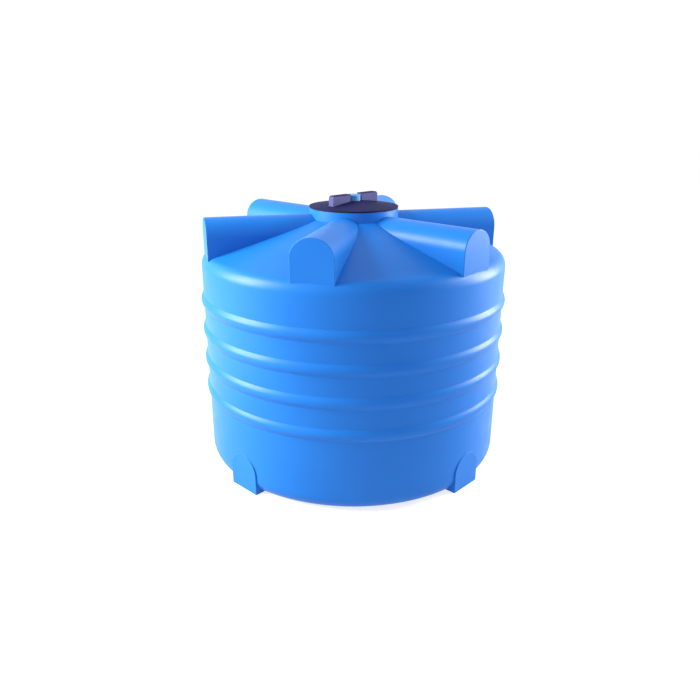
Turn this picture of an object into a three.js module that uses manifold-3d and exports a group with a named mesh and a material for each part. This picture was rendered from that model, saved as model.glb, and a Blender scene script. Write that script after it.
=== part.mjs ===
// Upright polyethylene water storage tank for a field or yard, with a screw lid and a rear ball valve.
// Millimetres, +Z up. The origin is on the tank's axis at the underside of its base.
import * as THREE from "three";
import { mergeVertices } from "three/addons/utils/BufferGeometryUtils.js";
import Module from "manifold-3d";

const wasm = await Module();
wasm.setup();

// ---- Driving dimensions ----

const GAP = 0.3; // between pieces that touch
const TANK_SIDES = 40; // facets round the tank
const FITTING_SIDES = 20; // facets round the valve and its fittings

const WALL_R = 600;
const WALL_THICK = 5;
const BASE_FILLET = 60;
const BAND_HEIGHTS = [308, 428, 548, 668];
const BAND_R = 610;
const BAND_HALF_FOOT = 24;
const BAND_HALF_CREST = 13;
const SHOULDER_Z = 802;
const SHOULDER_FILLET = 50;
const ROOF_SLOPE = THREE.MathUtils.degToRad(17);
const ROOF_INNER_R = 160; // the roof ends inside the neck

const VAULT_COUNT = 6;
const VAULT_FIRST_ANGLE = 30; // degrees from -Y towards +X
const VAULT_HALF_WIDTH = 77;
const VAULT_END = 583; // distance of the flat end face from the axis
const VAULT_CROWN_Z = 988;
const VAULT_ARCH_RISE = 70;

const PAD_ANGLES = [0, 90, 180, 270]; // degrees from -Y towards +X
const PAD_HALF_WIDTH = 71;
const PAD_FACE = 601; // distance of the flat face from the axis
const PAD_CROWN_Z = 145;
const PAD_DEPTH = 70;

const NECK_R = 175;
const NECK_BORE_R = 169;
const NECK_TOP = 1007;
const NECK_BOTTOM = 958;

// The lid's quick thread: three starts, cut to the same helix in the neck and on the lid's skirt.
const THREAD_STARTS = 3;
const THREAD_LEAD = 36;
const THREAD_SWEEP = 140; // degrees that each ridge runs
const THREAD_ROOT_HEIGHT = 5.4;
const THREAD_CREST_HEIGHT = 3;
const THREAD_PITCH = THREAD_LEAD / THREAD_STARTS;
const THREAD_CLEARANCE = 1.5;
const SKIRT_R = 162;
const SKIRT_THICK = 4;
const SKIRT_BOTTOM = 966;
const LID_RIDGE_TOP = 996; // height of the upper end of each ridge on the lid

const GASKET_THICK = 3;
const LID_R = 175;
const LID_RIM = 3;
const LID_RIM_CHAMFER = 1.5;
const LID_APEX_Z = 1036;
const LID_THICK = 4;
const WING_INNER = 31; // distances from the axis
const WING_OUTER = 126;
const WING_HALF_THICK = 13;
const WING_TOP_Z = 1060;
const WING_CORNER_R = 12;
const BREATHER_GROOVES = 6;
const GROOVE_HALF_WIDTH = 3;
const GROOVE_DEPTH = 1;
const CAP_R = 26; // the breather cap that stands between the wings
const CAP_TOP_Z = 1056;
const CAP_CHAMFER = 3;
const CAP_SPIGOT_R = 14;
const CAP_SPIGOT_REACH = 9; // how far the spigot hangs below the cover
const THREAD_EMBED = 2; // how far each ridge's root lies inside the wall that carries it

const OUTLET_Z = 66; // height of the outlet's axis
const OUTLET_TUBE_R = 18;
const OUTLET_FLANGE_R = 37;
const PIPE_THREAD_R = 16.6; // one-inch male thread
const CONNECTOR_BORE_R = 13.5;
const WATERWAY_R = 12.5;
const VALVE_CENTRE = 56; // from the pad's face to the ball's centre
const BALL_R = 17;
const STEM_R = 6;

// ---- Geometry helpers ----

// A closed geometry with its shared vertices merged, as a solid that can be joined and cut.
function solid(geometry) {
  const bare = geometry.clone();
  bare.deleteAttribute("normal");
  bare.deleteAttribute("uv");
  const merged = mergeVertices(bare, 1e-3);
  return new wasm.Manifold(
    new wasm.Mesh({
      numProp: 3,
      vertProperties: merged.attributes.position.array,
      triVerts: new Uint32Array(merged.index.array),
    }),
  );
}

function geometryOf(body) {
  const mesh = body.getMesh();
  const geometry = new THREE.BufferGeometry();
  geometry.setAttribute("position", new THREE.BufferAttribute(mesh.vertProperties, 3));
  geometry.setIndex(new THREE.BufferAttribute(mesh.triVerts, 1));
  return geometry;
}

// A solid of revolution about +Z from [radius, height] points, anticlockwise in the radius-height plane.
function turned(points, sides = FITTING_SIDES) {
  const profile = points.map(([r, z]) => new THREE.Vector2(r, z));
  return new THREE.LatheGeometry(profile, sides).rotateX(Math.PI / 2);
}

function ring(innerR, outerR, low, high, sides = FITTING_SIDES) {
  const section = [[innerR, low], [outerR, low], [outerR, high], [innerR, high], [innerR, low]];
  return turned(section, sides);
}

function disc(radius, low, high, sides = FITTING_SIDES) {
  return turned([[0, low], [radius, low], [radius, high], [0, high]], sides);
}

// A prism along +Z whose corners lie at cornerR.
function hexagon(cornerR, low, high) {
  return disc(cornerR, low, high, 6);
}

function box(xRange, yRange, zRange) {
  const size = [xRange, yRange, zRange].map(([low, high]) => high - low);
  const middle = [xRange, yRange, zRange].map(([low, high]) => (low + high) / 2);
  return new THREE.BoxGeometry(...size).translate(...middle);
}

function arc(centreR, centreZ, radius, fromDegrees, toDegrees, steps) {
  return Array.from({ length: steps + 1 }, (_, i) => {
    const angle = THREE.MathUtils.degToRad(fromDegrees + ((toDegrees - fromDegrees) * i) / steps);
    return [centreR + radius * Math.cos(angle), centreZ + radius * Math.sin(angle)];
  });
}

// An arch-topped outline, upright in Y, extruded towards -Y and then turned by the given degrees about +Z.
function archedBlock(halfWidth, low, crown, rise, fromAxis, toAxis, degrees) {
  const outline = new THREE.Shape();
  outline.moveTo(-halfWidth, low);
  outline.lineTo(halfWidth, low);
  outline.lineTo(halfWidth, crown - rise);
  outline.absellipse(0, crown - rise, halfWidth, rise, 0, Math.PI, false, 0);
  outline.closePath();
  const block = new THREE.ExtrudeGeometry(outline, {
    depth: toAxis - fromAxis,
    bevelEnabled: false,
    curveSegments: 6,
  });
  block.rotateX(Math.PI / 2);
  block.translate(0, -fromAxis, 0);
  return block.rotateZ(THREE.MathUtils.degToRad(degrees));
}

// A helical ridge: an extruded section bent round the axis and lifted with the thread's lead.
// Its section runs from rootR to crestR, and its upper end starts at angle `degrees` and height `top`.
function helicalRidge(rootR, crestR, top, degrees) {
  const section = new THREE.Shape();
  const root = THREAD_ROOT_HEIGHT / 2;
  const crest = THREAD_CREST_HEIGHT / 2;
  const corners = [[rootR, -root], [crestR, -crest], [crestR, crest], [rootR, root]];
  if (crestR < rootR) corners.reverse();
  section.setFromPoints(corners.map(([r, z]) => new THREE.Vector2(r, z)));
  const sweep = THREE.MathUtils.degToRad(THREAD_SWEEP);
  const ridge = new THREE.ExtrudeGeometry(section, { depth: sweep, steps: 14, bevelEnabled: false });
  const place = ridge.attributes.position;
  const start = THREE.MathUtils.degToRad(degrees);
  for (let i = 0; i < place.count; i += 1) {
    const r = place.getX(i);
    const back = place.getZ(i);
    const z = top + place.getY(i) - (THREAD_LEAD * back) / (2 * Math.PI);
    place.setXYZ(i, r * Math.cos(start - back), r * Math.sin(start - back), z);
  }
  return ridge;
}

function joined(first, ...others) {
  return others.reduce((body, other) => body.add(solid(other)), solid(first));
}

const group = new THREE.Group();

function addPiece(parent, name, geometry, colour, roughness, metalness) {
  const material = new THREE.MeshStandardMaterial({ color: colour, roughness, metalness });
  const mesh = new THREE.Mesh(geometry, material);
  mesh.name = name;
  parent.add(mesh);
}

// ---- Tank: one hollow moulding, kept here as its wall, its roof and its neck ----

// The moulding's outline from the middle of the base to the roof's inner edge, moved in by `inset`.
function tankProfile(inset) {
  const wallR = WALL_R - inset;
  const bands = BAND_HEIGHTS.flatMap((z) => [
    [wallR, z - BAND_HALF_FOOT],
    [BAND_R - inset, z - BAND_HALF_CREST],
    [BAND_R - inset, z + BAND_HALF_CREST],
    [wallR, z + BAND_HALF_FOOT],
  ]);
  const shoulderEnd = 90 - THREE.MathUtils.radToDeg(ROOF_SLOPE);
  const shoulderR = SHOULDER_FILLET - inset;
  const shoulder = arc(wallR - shoulderR, SHOULDER_Z, shoulderR, 0, shoulderEnd, 3);
  const [eavesR, eavesZ] = shoulder.at(-1);
  const roofZ = eavesZ + (eavesR - ROOF_INNER_R) * Math.tan(ROOF_SLOPE);
  const base = arc(WALL_R - BASE_FILLET, BASE_FILLET, BASE_FILLET - inset, -90, 0, 4);
  return [[0, inset], ...base, ...bands, ...shoulder, [ROOF_INNER_R, roofZ], [0, roofZ]];
}

function addVaults(body, inset) {
  const fromAxis = inset ? NECK_R + inset : 0;
  for (let i = 0; i < VAULT_COUNT; i += 1) {
    const vault = archedBlock(
      VAULT_HALF_WIDTH - inset,
      SHOULDER_Z - SHOULDER_FILLET,
      VAULT_CROWN_Z - inset,
      VAULT_ARCH_RISE - inset,
      fromAxis,
      VAULT_END - inset,
      VAULT_FIRST_ANGLE + (360 / VAULT_COUNT) * i,
    );
    body = body.add(solid(vault));
  }
  return body;
}

function addPads(body, inset) {
  for (const angle of PAD_ANGLES) {
    const pad = archedBlock(
      PAD_HALF_WIDTH - inset,
      inset,
      PAD_CROWN_Z - inset,
      PAD_HALF_WIDTH - inset,
      PAD_FACE - PAD_DEPTH,
      PAD_FACE - inset,
      angle,
    );
    body = body.add(solid(pad));
  }
  return body;
}

function threadIn(body, rootR, crestR, top) {
  for (let i = 0; i < THREAD_STARTS; i += 1) {
    body = body.add(solid(helicalRidge(rootR, crestR, top, (360 / THREAD_STARTS) * i)));
  }
  return body;
}

// A cylinder about the tank's axis, for cutting the moulding into its three solids.
function tankDisc(radius, low, high) {
  return solid(disc(radius, low, high, TANK_SIDES));
}

function tankMoulding() {
  const outside = addPads(addVaults(solid(turned(tankProfile(0), TANK_SIDES)), 0), 0);
  const cavity = solid(turned(tankProfile(WALL_THICK), TANK_SIDES));
  return outside.subtract(addPads(addVaults(cavity, WALL_THICK), WALL_THICK));
}

const moulding = tankMoulding();
const CUTTER_R = 2 * WALL_R; // wide enough to pass every side of the tank

function tankWall() {
  const wall = moulding.subtract(tankDisc(CUTTER_R, SHOULDER_Z, 2 * NECK_TOP));
  const outletHole = disc(OUTLET_TUBE_R + 1, -2 * WALL_THICK, 2 * WALL_THICK);
  outletHole.rotateX(-Math.PI / 2).translate(0, PAD_FACE, OUTLET_Z);
  return wall.subtract(solid(outletHole));
}

function tankRoof() {
  const roof = moulding.subtract(tankDisc(CUTTER_R, -WALL_R, SHOULDER_Z + GAP));
  return roof.subtract(tankDisc(NECK_R + GAP, SHOULDER_Z, 2 * NECK_TOP));
}

// The neck's ridges lie half a pitch above the lid's, on the same helix.
function tankNeck() {
  const neckRidgeCrest = SKIRT_R + THREAD_CLEARANCE;
  const neckRidgeTop = LID_RIDGE_TOP + THREAD_PITCH / 2;
  const tube = solid(ring(NECK_BORE_R, NECK_R, NECK_BOTTOM, NECK_TOP, TANK_SIDES));
  return threadIn(tube, NECK_BORE_R + THREAD_EMBED, neckRidgeCrest, neckRidgeTop);
}

const TANK_BLUE = [0x2f86e6, 0.38, 0];
addPiece(group, "tank_wall", geometryOf(tankWall()), ...TANK_BLUE);
addPiece(group, "tank_roof", geometryOf(tankRoof()), ...TANK_BLUE);
addPiece(group, "tank_neck", geometryOf(tankNeck()), ...TANK_BLUE);

// ---- Lid and its gasket ----

const flangeBottom = NECK_TOP + GASKET_THICK + 2 * GAP;
const coneBottom = flangeBottom + LID_RIM;

addPiece(
  group,
  "lid_gasket",
  ring(SKIRT_R + 1, NECK_R - 2, NECK_TOP + GAP, NECK_TOP + GAP + GASKET_THICK, TANK_SIDES),
  0x15161a,
  0.8,
  0,
);

function lidShell() {
  const skirtInnerR = SKIRT_R - SKIRT_THICK;
  const profile = [
    [0, LID_APEX_Z - LID_THICK],
    [skirtInnerR, coneBottom - LID_THICK],
    [skirtInnerR, SKIRT_BOTTOM],
    [SKIRT_R, SKIRT_BOTTOM],
    [SKIRT_R, flangeBottom],
    [LID_R, flangeBottom],
    [LID_R, coneBottom - LID_RIM_CHAMFER / 2],
    [LID_R - LID_RIM_CHAMFER, coneBottom],
    [0, LID_APEX_Z],
  ];
  return solid(turned(profile, TANK_SIDES));
}

// Height of the middle of the cover's thickness at a given distance from the axis.
function coverMiddle(r) {
  return LID_APEX_Z - ((LID_APEX_Z - coneBottom) * r) / LID_R - LID_THICK / 2;
}

// A grip wing has a level top with its outer corner rounded.
// Its foot follows the cover and stays within its thickness.
function gripWing(degrees) {
  const side = new THREE.Shape();
  side.moveTo(WING_INNER, coverMiddle(WING_INNER));
  side.lineTo(WING_OUTER, coverMiddle(WING_OUTER));
  side.lineTo(WING_OUTER, WING_TOP_Z - WING_CORNER_R);
  side.absarc(WING_OUTER - WING_CORNER_R, WING_TOP_Z - WING_CORNER_R, WING_CORNER_R, 0, Math.PI / 2, false);
  side.lineTo(WING_INNER, WING_TOP_Z);
  side.closePath();
  const wing = new THREE.ExtrudeGeometry(side, {
    depth: 2 * WING_HALF_THICK,
    bevelEnabled: false,
    curveSegments: 4,
  });
  wing.translate(0, 0, -WING_HALF_THICK).rotateX(Math.PI / 2);
  return wing.rotateZ(THREE.MathUtils.degToRad(degrees));
}

// Shallow grooves under the flange let air past the gasket as water is drawn.
function breatherGroove(degrees) {
  const across = [-GROOVE_HALF_WIDTH, GROOVE_HALF_WIDTH];
  const groove = box([SKIRT_R - 0.5, LID_R + 1], across, [flangeBottom - 1, flangeBottom + GROOVE_DEPTH]);
  return groove.rotateZ(THREE.MathUtils.degToRad(degrees));
}

// The wings lie along Y, and the breather cap's hole goes through the middle of the cover.
function lid() {
  let body = lidShell();
  for (const degrees of [90, 270]) body = body.add(solid(gripWing(degrees)));
  body = body.subtract(solid(disc(CAP_SPIGOT_R + GAP, SKIRT_BOTTOM, LID_APEX_Z + 1)));
  body = threadIn(body, SKIRT_R - THREAD_EMBED, NECK_BORE_R - THREAD_CLEARANCE, LID_RIDGE_TOP);
  for (let i = 0; i < BREATHER_GROOVES; i += 1) {
    body = body.subtract(solid(breatherGroove((360 / BREATHER_GROOVES) * i)));
  }
  return body;
}

addPiece(group, "lid", geometryOf(lid()), 0x3a3560, 0.45, 0);

// A push-in cap whose rim stands a gap above the cover's slope, all round.
function breatherCap() {
  const rimBottom = coverMiddle(CAP_R) + LID_THICK / 2 + GAP;
  const shoulderBottom = coverMiddle(CAP_SPIGOT_R) + LID_THICK / 2 + GAP;
  return turned([
    [0, coverMiddle(CAP_SPIGOT_R) - LID_THICK / 2 - CAP_SPIGOT_REACH],
    [CAP_SPIGOT_R, coverMiddle(CAP_SPIGOT_R) - LID_THICK / 2 - CAP_SPIGOT_REACH],
    [CAP_SPIGOT_R, shoulderBottom],
    [CAP_R, rimBottom],
    [CAP_R, CAP_TOP_Z - CAP_CHAMFER],
    [CAP_R - CAP_CHAMFER, CAP_TOP_Z],
    [0, CAP_TOP_Z],
  ]);
}

addPiece(group, "breather_cap", breatherCap(), ...TANK_BLUE);

// ---- Rear outlet: a group whose +Z points out of the rear pad and whose -Y points up ----

const outlet = new THREE.Group();
outlet.position.set(0, PAD_FACE, OUTLET_Z);
outlet.rotation.x = -Math.PI / 2;
group.add(outlet);

const RUBBER = [0x17181b, 0.85, 0];
const BLACK_PLASTIC = [0x1f2124, 0.5, 0];
const BRASS = [0xb5934a, 0.35, 1];
const STEEL = [0xb9bcc0, 0.3, 1];
const WHITE_PLASTIC = [0xe8e6e0, 0.5, 0];
const LEVER_PAINT = [0xb4201c, 0.4, 0];

const SEAL_THICK = 3;
const CONNECTOR_FLANGE_THICK = 8;
const CONNECTOR_INSIDE = 34; // how far the connector reaches into the tank
const LOCKNUT_THICK = 14;
const flangeInner = SEAL_THICK + 2 * GAP;
const flangeOuter = flangeInner + CONNECTOR_FLANGE_THICK;
const SOCKET_WALL = 7; // between the inlet socket and the ball
const socketEnd = VALVE_CENTRE - BALL_R - SOCKET_WALL;
const connectorEnd = socketEnd - 1;

addPiece(
  outlet,
  "outlet_gasket",
  ring(OUTLET_TUBE_R + 1, OUTLET_FLANGE_R - 1, GAP, GAP + SEAL_THICK),
  ...RUBBER,
);

addPiece(
  outlet,
  "outlet_body",
  turned([
    [CONNECTOR_BORE_R, -CONNECTOR_INSIDE],
    [OUTLET_TUBE_R, -CONNECTOR_INSIDE],
    [OUTLET_TUBE_R, flangeInner],
    [OUTLET_FLANGE_R, flangeInner],
    [OUTLET_FLANGE_R, flangeOuter],
    [PIPE_THREAD_R, flangeOuter],
    [PIPE_THREAD_R, connectorEnd],
    [CONNECTOR_BORE_R, connectorEnd],
    [CONNECTOR_BORE_R, -CONNECTOR_INSIDE],
  ]),
  ...BLACK_PLASTIC,
);

const washerOuter = -WALL_THICK - GAP;
const washerInner = washerOuter - SEAL_THICK;
const locknutOuter = washerInner - GAP;
addPiece(
  outlet,
  "outlet_washer",
  ring(OUTLET_TUBE_R + 1, OUTLET_FLANGE_R - 1, washerInner, washerOuter),
  ...RUBBER,
);

function nut(cornerR, boreR, low, high) {
  return geometryOf(solid(hexagon(cornerR, low, high)).subtract(solid(disc(boreR, low - 1, high + 1))));
}

addPiece(
  outlet,
  "outlet_locknut",
  nut(OUTLET_FLANGE_R, OUTLET_TUBE_R + 2 * GAP, locknutOuter - LOCKNUT_THICK, locknutOuter),
  ...BLACK_PLASTIC,
);

// ---- Ball valve ----

const SOCKET_R = PIPE_THREAD_R + 2 * GAP;
const CHAMBER_R = BALL_R + 1;
const VALVE_R = 26;
const VALVE_INLET_R = 22;
const VALVE_OUTLET_R = 23;
const VALVE_HEX_THICK = 13;
const VALVE_WIDE_FROM = -16; // distances from the ball's centre along the pipe
const VALVE_WIDE_TO = 14;
const VALVE_TAPER_END = 19;
const VALVE_BODY_END = 25;
const chamberLow = VALVE_CENTRE - CHAMBER_R;
const bodyLow = flangeOuter + GAP;
const bodyHigh = VALVE_CENTRE + VALVE_BODY_END;
const BOSS_R = 12;
const BOSS_TOP = 34; // heights above the valve's axis
const PACKING_R = 9;
const PACKING_FLOOR = 25;
const STEM_HOLE_R = STEM_R + 0.5;

function upright(geometry) {
  return geometry.rotateX(Math.PI / 2).translate(0, 0, VALVE_CENTRE);
}

function valveBody() {
  const outside = turned([
    [0, bodyLow],
    [VALVE_INLET_R, bodyLow],
    [VALVE_INLET_R, socketEnd],
    [VALVE_R, VALVE_CENTRE + VALVE_WIDE_FROM],
    [VALVE_R, VALVE_CENTRE + VALVE_WIDE_TO],
    [VALVE_OUTLET_R, VALVE_CENTRE + VALVE_TAPER_END],
    [VALVE_OUTLET_R, bodyHigh],
    [0, bodyHigh],
  ]);
  const boss = upright(disc(BOSS_R, 0, BOSS_TOP));
  let body = joined(outside, boss, hexagon(VALVE_R, bodyLow, bodyLow + VALVE_HEX_THICK));
  const cuts = [
    disc(SOCKET_R, bodyLow - 1, socketEnd),
    disc(WATERWAY_R, socketEnd - 1, VALVE_CENTRE),
    disc(CHAMBER_R, chamberLow, bodyHigh + 1),
    upright(disc(STEM_HOLE_R, 0, BOSS_TOP + 1)),
    upright(disc(PACKING_R, PACKING_FLOOR, BOSS_TOP + 1)),
  ];
  for (const cut of cuts) body = body.subtract(solid(cut));
  return body;
}

addPiece(outlet, "valve_body", geometryOf(valveBody()), ...BRASS);

const SEAT_BACK = CHAMBER_R - GAP; // distances from the ball's centre
const SEAT_RIM = 8.5;
const SEAT_FRONT = 7.5;
const SEAT_THROAT = 12.2;

// A seat ring, whose cone faces the ball; `side` is -1 for the inlet and +1 for the outlet.
function seat(side) {
  const section = [
    [WATERWAY_R, -SEAT_BACK],
    [CHAMBER_R - GAP, -SEAT_BACK],
    [CHAMBER_R - GAP, -SEAT_RIM],
    [CHAMBER_R - 1.5, -SEAT_FRONT],
    [WATERWAY_R, -SEAT_THROAT],
    [WATERWAY_R, -SEAT_BACK],
  ];
  const points = side < 0 ? section : section.map(([r, z]) => [r, -z]).reverse();
  return turned(points.map(([r, z]) => [r, VALVE_CENTRE + z]));
}

addPiece(outlet, "valve_seat_inlet", seat(-1), ...WHITE_PLASTIC);
addPiece(outlet, "valve_seat_outlet", seat(1), ...WHITE_PLASTIC);

const END_HEX_R = 25;
const END_HEX_THICK = 8;
const END_THREAD_LENGTH = 15;
const endInner = VALVE_CENTRE + CHAMBER_R;
const endFlange = bodyHigh + GAP;
const endTip = endFlange + END_HEX_THICK + END_THREAD_LENGTH;

function valveEnd() {
  const outside = turned([
    [0, endInner],
    [CHAMBER_R - GAP, endInner],
    [CHAMBER_R - GAP, endFlange],
    [PIPE_THREAD_R, endFlange],
    [PIPE_THREAD_R, endTip],
    [0, endTip],
  ]);
  const hex = hexagon(END_HEX_R, endFlange, endFlange + END_HEX_THICK);
  return joined(outside, hex).subtract(solid(disc(WATERWAY_R, endInner - 1, endTip + 1)));
}

addPiece(outlet, "valve_end", geometryOf(valveEnd()), ...BRASS);

// Closed, the ball's bore lies across the pipe, and the stem's tang stands in the slot on top.
const SLOT_HALF_WIDTH = 2.3;
const SLOT_FLOOR = 11;
const TANG_HALF_WIDTH = 2;
const TANG_HALF_LENGTH = 5;

function valveBall() {
  const ball = new THREE.SphereGeometry(BALL_R, FITTING_SIDES, 14).rotateX(Math.PI / 2);
  const bore = disc(WATERWAY_R - 1, -BALL_R - 1, BALL_R + 1).rotateY(Math.PI / 2);
  const slot = box([-BALL_R, BALL_R], [-BALL_R - 1, -SLOT_FLOOR], [-SLOT_HALF_WIDTH, SLOT_HALF_WIDTH]);
  return solid(ball).subtract(solid(bore)).subtract(solid(slot)).translate([0, 0, VALVE_CENTRE]);
}

addPiece(outlet, "valve_ball", geometryOf(valveBall()), ...STEEL);

const LEVER_LOW = 40;
const LEVER_THICK = 3;
const STEM_TOP = 52;
const STEM_TIP_R = 4;

function valveStem() {
  const shaft = turned([
    [0, BALL_R + GAP],
    [STEM_R, BALL_R + GAP],
    [STEM_R, LEVER_LOW - GAP],
    [STEM_TIP_R, LEVER_LOW - GAP],
    [STEM_TIP_R, STEM_TOP],
    [0, STEM_TOP],
  ]);
  const tang = box(
    [-TANG_HALF_LENGTH, TANG_HALF_LENGTH],
    [-BALL_R - 1, -SLOT_FLOOR - GAP],
    [-TANG_HALF_WIDTH, TANG_HALF_WIDTH],
  );
  return joined(upright(shaft), tang.translate(0, 0, VALVE_CENTRE));
}

addPiece(outlet, "valve_stem", geometryOf(valveStem()), ...BRASS);

const PACKING_THICK = 4;
const SEAL_TOP = PACKING_FLOOR + GAP + PACKING_THICK;
const sealRing = ring(STEM_HOLE_R, PACKING_R - GAP, PACKING_FLOOR + GAP, SEAL_TOP);
addPiece(outlet, "stem_seal", upright(sealRing), ...WHITE_PLASTIC);

function glandNut() {
  const plug = disc(PACKING_R - GAP, SEAL_TOP + GAP, BOSS_TOP + 1);
  const head = hexagon(BOSS_R, BOSS_TOP + GAP, LEVER_LOW - 1);
  const body = joined(plug, head).subtract(solid(disc(STEM_HOLE_R, SEAL_TOP, LEVER_LOW)));
  return upright(geometryOf(body));
}

addPiece(outlet, "gland_nut", glandNut(), ...BRASS);

// ---- Lever: it lies across the pipe, towards +X, when the valve is shut ----

const LEVER_REACH = 118;
const LEVER_HALF_WIDTH = 9;
const LEVER_RISE = 14; // the handle lies this much higher than the hub
const LEVER_HUB_R = 13;
const STEP_START = 28; // where the plate begins to climb
const STEP_END = 40;
const GRIP_FROM = 52;
const GRIP_THICK = 3;
const leverTop = LEVER_LOW + LEVER_THICK;

function leverOutline(halfWidth, from, to) {
  const outline = new THREE.Shape();
  outline.moveTo(from, -halfWidth);
  outline.lineTo(to - halfWidth, -halfWidth);
  outline.absarc(to - halfWidth, 0, halfWidth, -Math.PI / 2, Math.PI / 2, false);
  outline.lineTo(from, halfWidth);
  outline.closePath();
  return outline;
}

function slab(outline, low, high) {
  const slabGeometry = new THREE.ExtrudeGeometry(outline, {
    depth: high - low,
    bevelEnabled: false,
    curveSegments: 5,
  });
  return slabGeometry.translate(0, 0, low);
}

function leverPlate() {
  const hub = disc(LEVER_HUB_R, LEVER_LOW, leverTop);
  const near = slab(leverOutline(LEVER_HALF_WIDTH, 0, STEP_END), LEVER_LOW, leverTop);
  const side = new THREE.Shape();
  side.moveTo(STEP_START + 2, LEVER_LOW);
  side.lineTo(STEP_END + 2, LEVER_LOW + LEVER_RISE);
  side.lineTo(STEP_END + 6, LEVER_LOW + LEVER_RISE);
  side.lineTo(STEP_END + 6, leverTop + LEVER_RISE);
  side.lineTo(STEP_END, leverTop + LEVER_RISE);
  side.lineTo(STEP_START, leverTop);
  side.lineTo(STEP_START - 2, LEVER_LOW);
  side.closePath();
  const step = new THREE.ExtrudeGeometry(side, { depth: 2 * LEVER_HALF_WIDTH, bevelEnabled: false });
  step.translate(0, 0, -LEVER_HALF_WIDTH).rotateX(Math.PI / 2);
  const handle = leverOutline(LEVER_HALF_WIDTH, STEP_END + 4, LEVER_REACH);
  const far = slab(handle, LEVER_LOW + LEVER_RISE, leverTop + LEVER_RISE);
  const plate = joined(hub, near, step, far);
  return plate.subtract(solid(disc(STEM_TIP_R + GAP, LEVER_LOW - 1, leverTop + 1)));
}

addPiece(outlet, "valve_lever", upright(geometryOf(leverPlate())), ...STEEL);

// A dipped sleeve, closed at the handle's end.
function leverGrip() {
  const low = LEVER_LOW + LEVER_RISE - GRIP_THICK;
  const high = leverTop + LEVER_RISE + GRIP_THICK;
  const skin = leverOutline(LEVER_HALF_WIDTH + GRIP_THICK, GRIP_FROM, LEVER_REACH + GRIP_THICK);
  const hollow = leverOutline(LEVER_HALF_WIDTH + GAP, GRIP_FROM - 5, LEVER_REACH + GAP);
  const inside = slab(hollow, low + GRIP_THICK - GAP, high - GRIP_THICK + GAP);
  return upright(geometryOf(solid(slab(skin, low, high)).subtract(solid(inside))));
}

addPiece(outlet, "lever_grip", leverGrip(), ...LEVER_PAINT);

const LEVER_NUT_R = 8;
const leverNut = nut(LEVER_NUT_R, STEM_TIP_R + GAP, leverTop + GAP, leverTop + 6);
addPiece(outlet, "lever_nut", upright(leverNut), ...STEEL);

// ---- Hose tail ----

const HOSE_SEAL_THICK = 2.5;
const TAIL_FLANGE_R = PIPE_THREAD_R - GAP;
const TAIL_FLANGE_THICK = 4;
const TAIL_BORE_R = 10;
const TAIL_R = 12.5;
const BARB_R = 14;
const BARB_COUNT = 4;
const BARB_PITCH = 9;
const TAIL_SHANK = 12; // plain length between the flange and the first barb
const sealLow = endTip + GAP;
const tailLow = sealLow + HOSE_SEAL_THICK + GAP;
const tailFlangeTop = tailLow + TAIL_FLANGE_THICK;
const barbStart = tailFlangeTop + TAIL_SHANK;

addPiece(
  outlet,
  "hose_seal",
  ring(WATERWAY_R, TAIL_FLANGE_R, sealLow, sealLow + HOSE_SEAL_THICK),
  ...RUBBER,
);

function hoseTail() {
  const barbs = Array.from({ length: BARB_COUNT }, (_, i) => {
    const low = barbStart + BARB_PITCH * i;
    return [[TAIL_R, low], [BARB_R, low + 0.5], [TAIL_R, low + BARB_PITCH - 1]];
  }).flat();
  const tip = barbs.at(-1)[1] + 2;
  return turned([
    [TAIL_BORE_R, tailLow],
    [TAIL_FLANGE_R, tailLow],
    [TAIL_FLANGE_R, tailFlangeTop],
    [TAIL_R, tailFlangeTop],
    ...barbs,
    [TAIL_R, tip],
    [TAIL_BORE_R, tip],
    [TAIL_BORE_R, tailLow],
  ]);
}

addPiece(outlet, "hose_tail", hoseTail(), ...BLACK_PLASTIC);

function hoseNut() {
  const low = endFlange + END_HEX_THICK + 3;
  const lip = tailFlangeTop + GAP;
  const high = lip + 4;
  const body = solid(hexagon(END_HEX_R, low, high))
    .subtract(solid(disc(PIPE_THREAD_R + 2 * GAP, low - 1, lip)))
    .subtract(solid(disc(BARB_R + 0.5, lip - 1, high + 1)));
  return geometryOf(body);
}

addPiece(outlet, "hose_nut", hoseNut(), ...BLACK_PLASTIC);

export default group;
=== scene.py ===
"""Livestock water tank: the looks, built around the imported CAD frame.
Metres, +Z up, +Y towards the rear outlet."""
import math

import bmesh
import bpy
from mathutils import Matrix, Vector


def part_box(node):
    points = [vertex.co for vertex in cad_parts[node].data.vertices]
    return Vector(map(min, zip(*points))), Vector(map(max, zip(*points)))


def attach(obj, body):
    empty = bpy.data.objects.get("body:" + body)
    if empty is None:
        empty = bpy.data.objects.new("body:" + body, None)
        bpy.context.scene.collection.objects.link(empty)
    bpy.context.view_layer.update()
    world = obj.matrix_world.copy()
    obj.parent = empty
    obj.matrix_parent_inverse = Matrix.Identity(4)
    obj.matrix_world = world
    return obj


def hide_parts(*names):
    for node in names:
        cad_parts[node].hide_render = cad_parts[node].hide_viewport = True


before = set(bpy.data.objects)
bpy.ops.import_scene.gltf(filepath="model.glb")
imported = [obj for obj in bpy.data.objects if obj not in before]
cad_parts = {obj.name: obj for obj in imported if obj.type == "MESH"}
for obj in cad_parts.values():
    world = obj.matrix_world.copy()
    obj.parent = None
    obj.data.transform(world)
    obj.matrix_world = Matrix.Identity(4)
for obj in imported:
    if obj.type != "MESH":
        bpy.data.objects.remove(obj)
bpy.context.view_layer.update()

MM = 0.001
GAP = 0.3 * MM  # between solids that don't touch

# ---- Sizes: from the frame where its boxes give them, the rest as in the CAD ----

_, wall_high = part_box("tank_wall")
neck_low, neck_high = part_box("tank_neck")
lid_low, lid_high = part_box("lid")
cap_low, cap_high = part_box("breather_cap")
gasket_low, gasket_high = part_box("lid_gasket")

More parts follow.
